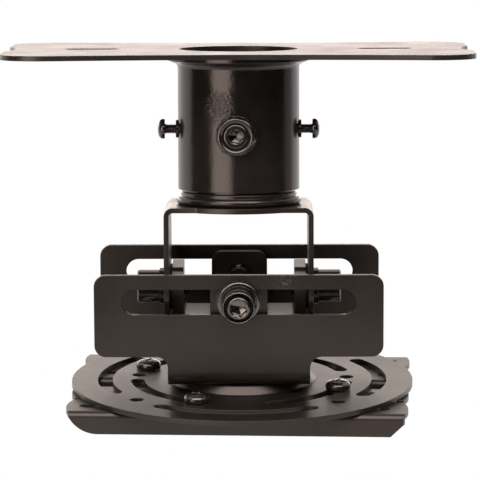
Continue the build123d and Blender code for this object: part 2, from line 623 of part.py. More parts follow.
nodes = {
    "ceiling_plate": ceiling_plate(),
    "collar_tube": collar_tube(),
    "clamp_weld_nut": clamp_weld_nut(),
    "clamp_set_screw": clamp_set_screw(),
    "lock_weld_nuts": lock_weld_nuts(),
    "lock_screw_left": lock_screw(-1),
    "lock_screw_right": lock_screw(1),
    "swivel_plug": swivel_plug(),
    "u_bracket": u_bracket(),
    "gimbal_cross": head * gimbal_cross(),
    "yoke": head * yoke(),
    "pivot_washer": pivot * pivot_washer(),
    "pivot_lock_nut": pivot * pivot_lock_nut(),
    "pivot_bolt": table * pivot_bolt(),
    "turntable_disc": table * turntable_disc(),
}
for name, place in (("left", left), ("right", right)):
    nodes[f"tilt_screw_{name}"] = place * tilt_screw()
    nodes[f"tilt_friction_washer_{name}"] = place * friction_washer(GIMBAL_WIDTH / 2, PIVOT_HOLE_D)
    nodes[f"tilt_spring_washer_{name}"] = place * spring_washer(TILT_SEAT)
for name, place in (("front", front), ("rear", rear)):
    nodes[f"roll_screw_{name}"] = place * roll_screw()
    nodes[f"roll_friction_washer_{name}"] = place * friction_washer(GIMBAL_DEPTH / 2, SHOULDER_HOLE_D)
    nodes[f"roll_washer_{name}"] = place * roll_washer()
    nodes[f"roll_spring_washer_{name}"] = place * spring_washer(ROLL_SPRING_SEAT)

# Each arm lies along X under its screw. Outer arms keep their wall outside, inner arms keep it inside.
arms = {
    "rear_outer": (ARM_SCREW_ANGLE, 180),
    "rear_inner": (ARM_SCREW_ANGLE + 90, 0),
    "front_outer": (ARM_SCREW_ANGLE + 180, 0),
    "front_inner": (ARM_SCREW_ANGLE + 270, 180),
}
for name, (angle, facing) in arms.items():
    spot_x = INNER_ARC_R * math.cos(math.radians(angle))
    spot_y = INNER_ARC_R * math.sin(math.radians(angle))
    nodes[f"arm_{name}"] = table * Pos(0, spot_y, ARM_TOP_Z) * Rot(0, 0, facing) * projector_arm()
    clamp = table * Pos(spot_x, spot_y, 0) * Rot(0, 0, angle)
    nodes[f"arm_screw_{name}"] = clamp * arm_screw()
    nodes[f"arm_washer_{name}"] = clamp * arm_washer()
    nodes[f"arm_nut_{name}"] = clamp * arm_nut()

os.makedirs("parts", exist_ok=True)
for name, shape in nodes.items():
    shape.label = name
    export_step(shape, f"parts/{name}.step")
print(len(nodes), "nodes, pivot at", round(PIVOT_Z, 3))
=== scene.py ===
# %% [markdown]
# # A ceiling mount for a projector
#
# The mount hangs from a ceiling: a plate and a tube hold a bracket, a gimbal, a yoke and a disc with
# four folded arms. Its shapes come ready made, as solids at their real size. This lesson gives them
# their finish: satin powder coat on the sheet metal, glossier black steel on the screws, and a soft
# white studio around it all. We start by loading the solids and noting the box that they fill.

# %% Load the mount
import json
import math
import bmesh
import bpy
from mathutils import Matrix, Vector

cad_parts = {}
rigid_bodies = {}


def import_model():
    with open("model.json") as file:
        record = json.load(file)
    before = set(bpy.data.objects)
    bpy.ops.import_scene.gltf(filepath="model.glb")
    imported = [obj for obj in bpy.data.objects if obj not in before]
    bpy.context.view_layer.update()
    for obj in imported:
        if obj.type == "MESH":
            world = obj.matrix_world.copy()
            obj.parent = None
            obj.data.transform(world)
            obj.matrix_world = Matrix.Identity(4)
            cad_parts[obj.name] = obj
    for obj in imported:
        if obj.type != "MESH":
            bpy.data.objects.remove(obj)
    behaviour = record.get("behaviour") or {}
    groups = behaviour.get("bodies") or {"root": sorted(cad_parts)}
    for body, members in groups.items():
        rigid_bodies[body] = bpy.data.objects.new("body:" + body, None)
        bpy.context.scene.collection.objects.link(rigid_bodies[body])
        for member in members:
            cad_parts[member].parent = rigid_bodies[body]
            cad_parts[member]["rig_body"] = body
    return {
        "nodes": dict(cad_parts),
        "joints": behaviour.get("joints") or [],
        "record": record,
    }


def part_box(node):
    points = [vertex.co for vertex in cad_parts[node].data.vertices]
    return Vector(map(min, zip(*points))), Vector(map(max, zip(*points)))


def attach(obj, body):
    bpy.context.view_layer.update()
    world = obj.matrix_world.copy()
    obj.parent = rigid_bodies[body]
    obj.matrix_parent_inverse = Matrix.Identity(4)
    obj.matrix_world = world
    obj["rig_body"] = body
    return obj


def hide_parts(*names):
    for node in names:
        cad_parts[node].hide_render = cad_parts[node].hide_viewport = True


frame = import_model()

for stray in [o for o in bpy.data.objects if o.name in ("Cube", "Light", "Camera")]:
    bpy.data.objects.remove(stray)
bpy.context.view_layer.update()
NODES = frame["nodes"]

# %% [markdown]
# ## Shader maths as plain sums
#
# A finish is a web of nodes, and wiring each Math node by hand hides what it works out. So one small
# class wraps a node's output. When two wrapped values are added or multiplied in Python, the class adds
# the Math node and its links. Everything else, such as a noise or a colour mix, comes from `node`, which
# takes a node's type, its settings and what goes into its sockets.

# %% Values that vary over a surface
class Field:
    """A node's output, usable in sums."""

    def __init__(self, finish, socket):
        self.finish = finish
        self.socket = socket

    def math(self, operation, left, right):
        return self.finish.node("ShaderNodeMath", {"operation": operation}, {0: left, 1: right})

    def __add__(self, other):
        return self.math("ADD", self, other)

    def __sub__(self, other):
        return self.math("SUBTRACT", self, other)

    def __rsub__(self, other):
        return self.math("SUBTRACT", other, self)

    def __mul__(self, other):
        return self.math("MULTIPLY", self, other)

    __radd__ = __add__
    __rmul__ = __mul__


class Finish:
    """A material or a world, built from nodes."""

    def __init__(self, owner):
        owner.use_nodes = True
        self.owner = owner
        self.tree = owner.node_tree
        self.tree.nodes.clear()

    def node(self, kind, settings=None, inputs=None, out=0):
        made = self.tree.nodes.new(kind)
        for name, value in (settings or {}).items():
            setattr(made, name, value)
        for name, value in (inputs or {}).items():
            if isinstance(value, Field):
                self.tree.links.new(value.socket, made.inputs[name])
            else:
                made.inputs[name].default_value = value
        return Field(self, made.outputs[out]) if made.outputs else None


def blend(finish, share, first, second):
    """Colour between two colours, by a share from 0 to 1."""
    return finish.node("ShaderNodeMix", {"data_type": "RGBA"}, {0: share, 6: first, 7: second}, out=2)


def cloud(finish, place, per_metre, detail=3.0, rough=0.5):
    """Soft noise from 0 to 1 with about that many lumps per metre."""
    sockets = {"Vector": place, "Scale": per_metre, "Detail": detail, "Roughness": rough}
    return finish.node("ShaderNodeTexNoise", None, sockets)


def step(finish, value, low, high):
    """0 below low, 1 above high, and smooth in between."""
    sockets = {"Value": value, "From Min": low, "From Max": high}
    return finish.node("ShaderNodeMapRange", {"interpolation_type": "SMOOTHSTEP"}, sockets)


def distance(finish, place, spot):
    """How far a place on the surface is from a spot, in metres."""
    return finish.node("ShaderNodeVectorMath", {"operation": "DISTANCE"}, {0: place, 1: spot}, out="Value")


print("sums on sockets are ready")

# %% [markdown]
# ## The powder coat
#
# Sheet metal like this is sprayed with dry powder and baked. The powder melts into a tough satin skin
# with a faint orange peel, pulls a little thin over the edges, and picks up a few rubs, specks of dust
# and tiny chips. A single black would look like card. So noise drives the bump, slow changes of gloss,
# and paler patches near edges, which are partly rubs and partly a painted sheen on the edges. A Bevel
# node finds the edges: it gives the normal as if they were rounded, so where that differs from the true
# normal, an edge is near. The coat is a brown black, and a warm specular tint paints the warmth of the
# light into its reflections. Two marks have a place of their own: the heat of a weld left ripples on
# the tube, and a scrape left a scuff on the yoke. Each is a noise within a small distance of its spot.

# %% Powder coat
# The coat's specular tint paints the warm colour of the light into its reflections.
PAINTED_WARM_GLOSS = (1.0, 0.84, 0.77, 1.0)
COAT_DARK, COAT_PALE = (0.0080, 0.0062, 0.0050, 1.0), (0.0128, 0.0103, 0.0088, 1.0)
# The paler edge colour stands partly for rub wear and partly for a painted sheen on the edges.
RUB_AND_EDGE_SHEEN, DUSTY = (0.070, 0.062, 0.058, 1.0), (0.050, 0.045, 0.042, 1.0)
CHIPPED, SCUFFED = (0.180, 0.165, 0.155, 1.0), (0.120, 0.110, 0.104, 1.0)
SCUFF_NEAR, SCUFF_FAR = 0.001, 0.007
RIPPLE_NEAR, RIPPLE_FAR = 0.004, 0.010
SOFT_EDGE, PEEL_DEPTH = 0.0004, 0.0003


def edge_finder(finish, radius):
    """Normal with rounded edges, and a mask that is 1 on an edge and 0 away from it."""
    round_normal = finish.node("ShaderNodeBevel", {"samples": 4}, {"Radius": radius})
    true_normal = finish.node("ShaderNodeNewGeometry", out="Normal")
    same = finish.node("ShaderNodeVectorMath", {"operation": "DOT_PRODUCT"},
                       {0: round_normal, 1: true_normal}, out="Value")
    return round_normal, step(finish, 1 - same, 0.02, 0.25)


def chip_marks(finish, place, per_metre, size):
    """1 in a few small round nicks, one in some cells of a loose grid."""
    cells = {"Vector": place, "Scale": per_metre}
    near = finish.node("ShaderNodeTexVoronoi", None, cells, out="Distance")
    lot = finish.node("ShaderNodeTexVoronoi", None, cells, out="Color")
    chosen = step(finish, finish.node("ShaderNodeSeparateColor", None, {0: lot}), 0.86, 0.88)
    return (1 - step(finish, near, 0.6 * size, size)) * chosen


def powder_coat(name, gloss, peel, weld=None, scuff=None, rounding=SOFT_EDGE, shine=1.55):
    """Satin black coat by its roughness, its orange peel and its index.

    A weld's spot is rippled, a scuff's spot is scraped, and edges look rounded by a radius.
    """
    finish = Finish(bpy.data.materials.new(name))
    place = finish.node("ShaderNodeTexCoord", out="Object")
    lumps = cloud(finish, place, 720.0, 2.0)
    grain = cloud(finish, place, 5200.0, 2.0, 0.6)
    slow = cloud(finish, place, 38.0, 4.0, 0.6)
    streaks = cloud(finish, place, 160.0, 5.0, 0.7)
    round_normal, edge = edge_finder(finish, rounding)
    rub_and_sheen = edge * step(finish, streaks, 0.42, 0.62)
    specks = step(finish, grain, 0.70, 0.78) * 0.3
    tone = step(finish, slow * 0.7 + streaks * 0.3, 0.3, 0.7)
    chips = chip_marks(finish, place, 62.0, 0.032)
    coat = blend(finish, tone, COAT_DARK, COAT_PALE)
    # Paler edges: partly rub wear, partly a painted sheen along the edges.
    coat = blend(finish, rub_and_sheen * 0.35, coat, RUB_AND_EDGE_SHEEN)
    coat = blend(finish, specks, coat, DUSTY)
    coat = blend(finish, chips * 0.8, coat, CHIPPED)
    if scuff is not None:
        near = 1 - step(finish, distance(finish, place, scuff), SCUFF_NEAR, SCUFF_FAR)
        scrape = cloud(finish, place, 900.0, 4.0, 0.7)
        coat = blend(finish, step(finish, scrape, 0.52, 0.66) * near * 0.6, coat, SCUFFED)
    height = (lumps * 0.8 + grain * 0.15 - chips * 0.5) * peel
    if weld is not None:
        near = 1 - step(finish, distance(finish, place, weld), RIPPLE_NEAR, RIPPLE_FAR)
        sagging = finish.node("ShaderNodeMapping", None, {"Vector": place, "Scale": (0.6, 0.6, 1.0)})
        ripples = cloud(finish, sagging, 1250.0, 2.0, 0.6)
        height = height + ripples * near * 1.3
    bump = finish.node("ShaderNodeBump", None,
                       {"Strength": 1.0, "Distance": PEEL_DEPTH, "Height": height, "Normal": round_normal})
    # The specular tint is painted warm light in the coat's reflections.
    shader = finish.node("ShaderNodeBsdfPrincipled", None, {
        "Base Color": coat, "Roughness": gloss + tone * 0.07 - rub_and_sheen * 0.05 + chips * 0.2, "Normal": bump,
        "IOR": shine, "Specular Tint": PAINTED_WARM_GLOSS})
    finish.node("ShaderNodeOutputMaterial", None, {"Surface": shader})
    return finish.owner


print("an edge looks rounded by", SOFT_EDGE * 1000, "mm")

# %% [markdown]
# ## Five coats
#
# All the coated pieces went through the same booth, but they don't look alike. The tube shines more and
# has a stronger peel. The nut on it is small, so its edges keep a tighter radius. Plate, bracket and
# cross have crisp edges, and the yoke has its scuff just under its front plate's upper edge.

# %% Five coats
SATIN, FAINT_PEEL = 0.30, 0.12
WELD_OFFSET = 0.004
SCUFF_X, SCUFF_DROP = 0.0185, 0.0026
NUT_EDGE, CRISP_EDGE = 0.00005, 0.0001

nut_low, nut_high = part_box("clamp_weld_nut")
weld_spot = (nut_low[0], nut_low[1] + WELD_OFFSET, nut_high[2] + WELD_OFFSET)
front_rim = max((v.co for v in NODES["yoke"].data.vertices if v.co.y < 0), key=lambda spot: spot.z)
scuff_spot = (SCUFF_X, front_rim.y, front_rim.z - SCUFF_DROP)
SHEET_COAT = powder_coat("sheet_powder_coat", SATIN, FAINT_PEEL)
TUBE_COAT = powder_coat("tube_powder_coat", 0.17, 0.22, weld=weld_spot)
NUT_COAT = powder_coat("nut_powder_coat", 0.14, FAINT_PEEL, rounding=NUT_EDGE, shine=1.75)
YOKE_COAT = powder_coat("yoke_powder_coat", SATIN, FAINT_PEEL, scuff=scuff_spot)
CRISP_COAT = powder_coat("crisp_powder_coat", SATIN, FAINT_PEEL, rounding=CRISP_EDGE)
print("coats:", SHEET_COAT.name, TUBE_COAT.name, NUT_COAT.name, YOKE_COAT.name, CRISP_COAT.name)

# %% [markdown]
# ## Black steel and nylon
#
# The screws, nuts and washers are plated black, not sprayed. Their skin is thin and hard, so it shines
# more than the coat, shows fine turning marks, and wears to bare steel first on corners. The roll screws
# and their washers, which the eye meets first, shine most. The friction washers between the pivots are
# nylon. Only their rims show, so they get a soft plain black with a little moulding grain.

# %% Black steel and nylon
WORN_EDGE, GRAIN_DEPTH = 0.0003, 0.0002
PLATED_DARK, PLATED_PALE = (0.006, 0.0055, 0.005, 1.0), (0.011, 0.010, 0.009, 1.0)
# The steel's specular tint paints the warm colour of the light into the plating's reflections.
BARE_STEEL, PAINTED_WARM_STEEL_GLOSS = (0.17, 0.16, 0.15, 1.0), (1.0, 0.88, 0.82, 1.0)
NYLON_DARK, NYLON_PALE = (0.020, 0.020, 0.020, 1.0), (0.045, 0.044, 0.043, 1.0)


def black_steel(name, shine):
    """Thin glossy black plating over steel, worn at its corners, by its index."""
    finish = Finish(bpy.data.materials.new(name))
    place = finish.node("ShaderNodeTexCoord", out="Object")
    fine = cloud(finish, place, 2600.0, 3.0, 0.6)
    slow = cloud(finish, place, 240.0, 3.0)
    round_normal, edge = edge_finder(finish, WORN_EDGE)
    worn = edge * step(finish, slow, 0.48, 0.60)
    skin = blend(finish, slow, PLATED_DARK, PLATED_PALE)
    skin = blend(finish, worn * 0.5, skin, BARE_STEEL)
    bump = finish.node("ShaderNodeBump", None,
                       {"Strength": 0.08, "Distance": GRAIN_DEPTH, "Height": fine, "Normal": round_normal})
    # The specular tint is painted warm light in the plating's reflections.
    shader = finish.node("ShaderNodeBsdfPrincipled", None, {
        "Base Color": skin, "Roughness": 0.10 + slow * 0.12, "Metallic": worn * 0.6, "Normal": bump,
        "IOR": shine, "Specular Tint": PAINTED_WARM_STEEL_GLOSS})
    finish.node("ShaderNodeOutputMaterial", None, {"Surface": shader})
    return finish.owner


def moulded_nylon(name):
    """Soft black nylon with a faint moulding grain."""
    finish = Finish(bpy.data.materials.new(name))
    place = finish.node("ShaderNodeTexCoord", out="Object")
    grain = cloud(finish, place, 1800.0, 4.0, 0.6)
    tone = blend(finish, grain, NYLON_DARK, NYLON_PALE)
    bump = finish.node("ShaderNodeBump", None, {"Strength": 0.1, "Distance": GRAIN_DEPTH, "Height": grain})
    shader = finish.node("ShaderNodeBsdfPrincipled", None, {
        "Base Color": tone, "Roughness": 0.5 + grain * 0.15, "Normal": bump})
    finish.node("ShaderNodeOutputMaterial", None, {"Surface": shader})
    return finish.owner


STEEL = black_steel("black_plated_steel", 1.8)
PIN_STEEL = black_steel("black_pin_steel", 2.3)
NYLON = moulded_nylon("black_nylon")
print("hardware:", STEEL.name, PIN_STEEL.name, NYLON.name)

# %% [markdown]
# ## Dressing the solids
#
# Each solid already names its material slot, so the dressing is a short loop. The tube was sprayed
# together with the nuts welded to it, and it stands upright in the booth, where the powder lies thicker.
# So the tube, its nuts and the plug that turns in it take the coat with the stronger orange peel. Plate,
# bracket and cross take the crisp coat, and the yoke takes the one with the scuff.

# %% Dress the solids
CRISP = ("ceiling_plate", "u_bracket", "gimbal_cross")
TURNED = ("collar_tube", "clamp_weld_nut", "lock_weld_nuts", "swivel_plug")
BY_SLOT = {"black_powder_coat": SHEET_COAT, "black_fastener": STEEL, "nylon_washer": NYLON}
BY_NAME = {"yoke": YOKE_COAT, **dict.fromkeys(CRISP, CRISP_COAT), **dict.fromkeys(TURNED, TUBE_COAT)}
SLOT_OF = {part["node"]: part["material_slot"] for part in frame["record"]["subparts"]}
for name, piece in NODES.items():
    piece.data.materials[0] = BY_NAME.get(name, BY_SLOT[SLOT_OF[name]])
print("dressed", len(NODES), "pieces")

# %% [markdown]
# ## Rounded sheet edges
#
# A sheared and coated edge is never sharp: it is tumbled before spraying, and the powder rounds it more.
# That soft edge is what catches the light along every slot. The solids have square edges, so three
# modifiers work on them without touching their meshes: one welds the loose triangles, one bevels what
# is sharper than a set angle, and one evens out the normals, so that the flats stay flat. The tube and the
# other turned pieces are left out, because a bevel would streak their round walls.

# %% Rounded sheet edges
EDGE_ROUND, CRISP_ROUND = 0.00028, 0.00012
SHARP = math.radians(40)
WELD_GAP = 2e-6


def soften(piece, width):
    """Round the sharp edges of a solid by modifiers alone."""
    weld = piece.modifiers.new("weld", "WELD")
    weld.merge_threshold = WELD_GAP
    bevel = piece.modifiers.new("edge_round", "BEVEL")
    bevel.width = width
    bevel.segments = 2
    bevel.limit_method = "ANGLE"
    bevel.angle_limit = SHARP
    bevel.use_clamp_overlap = True
    even = piece.modifiers.new("even_normals", "WEIGHTED_NORMAL")
    even.keep_sharp = False


SHEETS = [name for name in NODES if SLOT_OF[name] == "black_powder_coat" and name not in TURNED]
for name in SHEETS:
    soften(NODES[name], CRISP_ROUND if name in CRISP else EDGE_ROUND)
print("softened", len(SHEETS), "sheets by", CRISP_ROUND * 1000, "or", EDGE_ROUND * 1000, "mm")

# %% [markdown]
# ## Screws with real threads
#
# Twelve screws hold the mount together, and a plain rod in place of a thread gives a model away.
# A thread could be a texture, but its outline would stay straight. Here each screw is a stack of rows of
# points round its axis, joined by faces. A row knows how far out it lies at each angle, so the same few
# lines make a round head, a hexagon socket, a cross recess and a thread. The axes and the lengths are
# read from the solids and joints, so that each screw lies exactly where its solid does.

# %% Rows round an axis
STEPS = 48
MM = 0.001
CREASE = math.radians(38)


def circle(radius):
    """Outline that lies equally far out at each angle."""
    return lambda angle: radius


def hexagon(flats):
    """Outline of a hexagon, by the distance between its flats."""
    sixth = math.pi / 3
    return lambda angle: flats / 2 / math.cos((angle + sixth / 2) % sixth - sixth / 2)


def cross(width, reach):
    """Outline of a cross with four wings."""
    def outline(angle):
        off = abs((angle + math.pi / 4) % (math.pi / 2) - math.pi / 4)
        return min(reach / math.cos(off), width / 2 / max(math.sin(off), 1e-6))
    return outline


def between(first, second, share):
    """Outline part of the way from one to another."""
    return lambda angle: first(angle) * (1 - share) + second(angle) * share


def linked(name, build):
    """Object in the scene from a built mesh."""
    mesh = bpy.data.meshes.new(name)
    build.to_mesh(mesh)
    build.free()
    piece = bpy.data.objects.new(name, mesh)
    bpy.context.collection.objects.link(piece)
    return piece


def smoothed(build):
    """Turn all faces of a closed mesh outwards and shade them smooth."""
    bmesh.ops.recalc_face_normals(build, faces=build.faces)
    for face in build.faces:
        face.smooth = True


def stack(name, rows, place, bored=False, steps=STEPS):
    """Closed mesh through rows, each an outline with its level or a level by radius.

    A bored piece joins its last row to its first, and any other gets flat ends.
    """
    build = bmesh.new()
    loops = []
    for outline, level in rows:
        loop = []
        for k in range(steps):
            angle = math.tau * k / steps
            out = outline(angle)
            height = level(out) if callable(level) else level
            spot = Vector((out * math.cos(angle), out * math.sin(angle), height))
            loop.append(build.verts.new(place @ spot))
        loops.append(loop)
    if bored:
        loops.append(loops[0])
    else:
        build.faces.new(loops[0])
        build.faces.new(loops[-1])
    for upper, lower in zip(loops, loops[1:]):
        for k in range(steps):
            build.faces.new((upper[k - 1], upper[k], lower[k], lower[k - 1]))
    smoothed(build)
    piece = linked(name, build)
    piece.data.set_sharp_from_angle(angle=CREASE)
    return piece


print("outlines: circle, hexagon, cross, with", STEPS, "points a row")

# %% [markdown]
# ## Threads, sockets and heads
#
# A metric thread has a fixed depth for its pitch. Along the axis it is a wave with narrow flats at crest
# and root, and it climbs by one pitch each turn, which is why its phase mixes level and angle. At the
# tip the wave is cut off by a small cone, as a die leaves it. A key socket is a hexagon with a round
# mouth, and a cross recess is four tapered wings sunk in a dome. Where a flat meets a round, a second row
# close by keeps the shading of the flat from running into the round.

# %% Threads, sockets and heads
SAMPLES = 8
EDGE_KEEP = 0.12 * MM


def thread(radius, pitch, top, tail):
    """Rows of a right-hand thread from a top level down to its tail."""
    depth = 0.6 * pitch
    rows = []
    count = round((top - tail) / pitch * SAMPLES)
    for k in range(count + 1):
        level = top - (top - tail) * k / count

        def outline(angle, level=level):
            wave = abs((level / pitch - angle / math.tau) % 1 * 2 - 1)
            groove = min(max(1.35 * wave - 0.2, 0.0), 1.0) * min((top - level) / pitch, 1.0)
            return min(radius - depth * groove, radius - depth + level - tail)

        rows.append((outline, level))
    return rows


def key_socket(flats, top, deep):
    """Rows of a hexagon key hole, from its drilled floor up to its round mouth."""
    mouth = flats / math.sqrt(3) + 0.1 * MM
    return [(circle(0.1 * flats), top - deep - 0.15 * flats), (hexagon(flats), top - deep),
            (hexagon(flats), top - 0.3 * MM), (circle(mouth), top), (circle(mouth + EDGE_KEEP), top)]


def quarter_round(radius, top, rounding):
    """Rows of a rounded rim, from the flat top out to the side."""
    rows = [(circle(radius - rounding - EDGE_KEEP), top)]
    for k in range(5):
        turn = math.pi / 8 * k
        inset, drop = rounding * (1 - math.sin(turn)), rounding * (1 - math.cos(turn))
        rows.append((circle(radius - inset), top - drop))
    return rows


def lip(centre, half, height, top):
    """Rows of a soft ring that stands a little over its two edges."""
    return [(circle(centre + half * k / 5), top - height * (k / 5) ** 2) for k in range(-5, 6)]


def head_foot(radius, seat):
    """Rows of a head's side and of the small chamfer at its seat."""
    chamfer = 0.25 * MM
    return [(circle(radius), seat + chamfer), (circle(radius - chamfer), seat)]


def cap_head(radius, top, seat, flats, deep, rounding):
    """Rows of a socket head, down to its seat."""
    return key_socket(flats, top, deep) + quarter_round(radius, top, rounding) + head_foot(radius, seat)


BOSS_SHARE, BOSS_ROUND, BOSS_RISE = 0.68, 0.55 * MM, 1.0 * MM
GROOVE_DEPTH, COLLAR_DROP = 3.2 * MM, 1.9 * MM
RING_HALF, RING_RISE, RING_INSET = 0.4 * MM, 0.45 * MM, 0.05 * MM


def collar_head(radius, top, seat, flats, deep):
    """Rows of a socket head in two steps, a boss and a V groove in a soft collar, down to its seat."""
    boss = BOSS_SHARE * radius
    groove = (boss + radius) / 2 - RING_HALF
    rows = key_socket(flats, top, deep) + quarter_round(boss, top, BOSS_ROUND)
    rows += [(circle(boss), top - BOSS_RISE), (circle(groove), top - GROOVE_DEPTH)]
    rows += lip(radius - RING_HALF - RING_INSET, RING_HALF, RING_RISE, top - BOSS_RISE)
    return rows + [(circle(radius), top - COLLAR_DROP)] + head_foot(radius, seat)


def coin(radius, bore, low, high, rounding):
    """Rows of a flat washer with a rounded upper rim."""
    inner = [(circle(bore), low), (circle(bore), high)]
    return inner + quarter_round(radius, high, rounding) + [(circle(radius - 0.2 * MM), low)]


def pan_dome(radius, top, seat):
    """Rows of a domed head with a cross recess, down to its seat."""
    height = top - seat
    rim = seat + 0.3 * height

    def dome(out):
        return rim + (top - rim) * max(1 - (out / radius) ** 2.6, 0.0) ** 0.45

    wings = cross(0.22 * radius, 0.5 * radius)
    rows = [(cross(0.10 * radius, 0.20 * radius), top - 0.62 * height), (wings, dome)]
    for share in (0.34, 0.67, 1.0):
        rows.append((between(wings, circle(0.56 * radius), share), dome))
    for share in (0.68, 0.79, 0.88, 0.95, 0.99, 1.0):
        rows.append((circle(share * radius), dome))
    return rows + [(circle(radius), seat + 0.1 * height), (circle(0.96 * radius), seat)]


print("thread samples per pitch:", SAMPLES)

# %% [markdown]
# ## Putting each screw on its axis
#
# A hinge's pin lies on the hinge's axis, and each screw here is such a pin or stands square to the tube.
# `axis_place` turns the stack's Z axis into that line. `span` then measures, along it, where a solid
# begins and ends: the head's top, the screw's tail and the seats in between come from those numbers.

# %% Screw axes
JOINTS = {joint["name"]: joint for joint in frame["joints"]}


def axis_place(point, axis, across):
    """Matrix that carries Z to an axis through a point, and X to the side nearest to a direction."""
    up = Vector(axis).normalized()
    side = (Vector(across) - up * up.dot(Vector(across))).normalized()
    turn = Matrix((side, up.cross(side), up)).transposed()
    return Matrix.Translation(point) @ turn.to_4x4()


def span(node, place):
    """Lowest and highest level of a solid along an axis."""
    back = place.inverted()
    levels = [(back @ corner.co).z for corner in NODES[node].data.vertices]
    return min(levels), max(levels)


def stand_in(piece, node, finish=STEEL):
    """Let a piece take its solid's place, body and finish."""
    piece.data.materials.append(finish)
    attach(piece, NODES[node]["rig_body"])
    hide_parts(node)
    print(piece.name, len(piece.data.polygons), "faces")


def middle(node):
    """Centre of a solid's box."""
    low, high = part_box(node)
    return (Vector(low) + Vector(high)) / 2


print("joints with a pin:", [name for name, joint in JOINTS.items() if joint["type"] == "hinge"][:5])

# %% [markdown]
# ## Lock screws and the clamp screw
#
# Two pan-head screws stand backed out of the tube, left and right, so their threads show against the
# white. The clamp screw sits in the welded nut at the front: a headless M10 screw with a key socket and
# a rounded rim.

# %% Lock and clamp screws
LOCK_R, LOCK_PITCH, LOCK_HEAD_R, LOCK_HEAD_HEIGHT = 2.0 * MM, 0.7 * MM, 4.0 * MM, 2.8 * MM
CLAMP_R, CLAMP_PITCH, CLAMP_KEY, CLAMP_KEY_DEPTH = 5.0 * MM, 1.5 * MM, 5.0 * MM, 5.0 * MM
CLAMP_ROUND = 0.8 * MM

for side in ("left", "right"):
    node = f"lock_screw_{side}"
    spot = middle(node)
    place = axis_place((0.0, 0.0, spot.z), (spot.x, 0.0, 0.0), (0.0, 1.0, 1.0))
    tail, top = span(node, place)
    seat = top - LOCK_HEAD_HEIGHT
    rows = pan_dome(LOCK_HEAD_R, top, seat) + thread(LOCK_R, LOCK_PITCH, seat, tail)
    stand_in(stack(f"threaded_{node}", rows, place), node)

spot = middle("clamp_set_screw")
place = axis_place((0.0, 0.0, spot.z), (spot.x, spot.y, 0.0), (1.0, 0.0, 0.4))
tail, top = span("clamp_set_screw", place)
rows = key_socket(CLAMP_KEY, top, CLAMP_KEY_DEPTH) + quarter_round(CLAMP_R, top, CLAMP_ROUND)
rows += thread(CLAMP_R, CLAMP_PITCH, top - CLAMP_ROUND, tail)[1:]
stand_in(stack("threaded_clamp_set_screw", rows, place), "clamp_set_screw")

# %% [markdown]
# ## The welded clamp nut
#
# The nut on the tube's front was welded on before spraying. The powder filled its corners and left a
# soft lip round its face, so it shows as rings of light and not as a crisp hexagon. It is a stack with a
# hole: a bore, the lip over a hexagon, and flats down into the tube's wall. A weld bead follows a circle
# round the nut's foot, up and down on the round tube, with the small ripples that a torch leaves.

# %% Clamp nut and its weld
NUT_FLATS, NUT_BORE, NUT_SUNK = 14.0 * MM, 5.05 * MM, 1.6 * MM
LIP_R, LIP_HALF, LIP_HEIGHT, LIP_ROWS = 6.5 * MM, 1.15 * MM, 0.6 * MM, 6
MOUTH_DROP, FLATS_DROP = 1.2 * MM, 1.3 * MM
NUT_TURN = math.radians(-12.5)
TUBE_R = 24.15 * MM
BEAD_R, BEAD_PATH, BEAD_SIDES = 0.65 * MM, 7.5 * MM, 8
NUT_STEPS = 96

spot = middle("clamp_set_screw")
facing = Vector((spot.x, spot.y, 0.0)).normalized()
sideways = Vector((0.0, 0.0, 1.0)).cross(facing)
corner_way = sideways * math.cos(NUT_TURN) + Vector((0.0, 0.0, 1.0)) * math.sin(NUT_TURN)
nut_place = axis_place((0.0, 0.0, spot.z), facing, corner_way)
face = span("clamp_weld_nut", nut_place)[1]


def cornered(out):
    """Outline of the nut: a circle where that lies within the hexagon."""
    flats = hexagon(NUT_FLATS)
    return lambda angle: min(flats(angle + math.pi / 6), out)


rows = [(circle(NUT_BORE), TUBE_R - NUT_SUNK), (circle(NUT_BORE), face - MOUTH_DROP)]
for k in range(-LIP_ROWS, LIP_ROWS + 1):
    share = k / LIP_ROWS
    rows.append((cornered(LIP_R + LIP_HALF * share), face - LIP_HEIGHT * share ** 2))
rows += [(cornered(NUT_FLATS), face - FLATS_DROP), (cornered(NUT_FLATS), TUBE_R - NUT_SUNK)]
nut = stack("coated_clamp_nut", rows, nut_place, bored=True, steps=NUT_STEPS)
stand_in(nut, "clamp_weld_nut", NUT_COAT)


def weld_bead(name, place):
    """Rippled bead along the foot of the nut, on the round tube."""
    build = bmesh.new()
    rings = []
    for k in range(NUT_STEPS):
        angle = math.tau * k / NUT_STEPS
        outwards = Vector((math.cos(angle), math.sin(angle), 0.0))
        across = place.to_3x3() @ (outwards * BEAD_PATH)
        level = math.sqrt(TUBE_R ** 2 - across.x ** 2 - across.y ** 2)
        size = BEAD_R * (1 + 0.10 * math.sin(11 * angle) + 0.07 * math.sin(23 * angle + 1.0))
        loop = []
        for j in range(BEAD_SIDES):
            turn = math.tau * j / BEAD_SIDES
            point = outwards * (BEAD_PATH + size * math.cos(turn))
            point.z = level + size * math.sin(turn)
            loop.append(build.verts.new(place @ point))
        rings.append(loop)
    for k in range(NUT_STEPS):
        for j in range(BEAD_SIDES):
            build.faces.new((rings[k - 1][j - 1], rings[k][j - 1], rings[k][j], rings[k - 1][j]))
    smoothed(build)
    return linked(name, build)


bead = weld_bead("clamp_nut_weld", nut_place)
bead.data.materials.append(TUBE_COAT)
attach(bead, NODES["clamp_weld_nut"]["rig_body"])
print(bead.name, len(bead.data.polygons), "faces")

# %% [markdown]
# ## Tilt and roll screws
#
# Four M8 screws are the pins of the gimbal. The two tilt screws have plain socket heads and go through
# the bracket's legs into the cross. The two roll screws have a boss over a grooved collar, and a plain
# shoulder that slides in the yoke's slots. Their threads end inside the cross: each begins where the
# friction washer marks the cross's ear. The roll washers were stamped, so their rims are rounded.

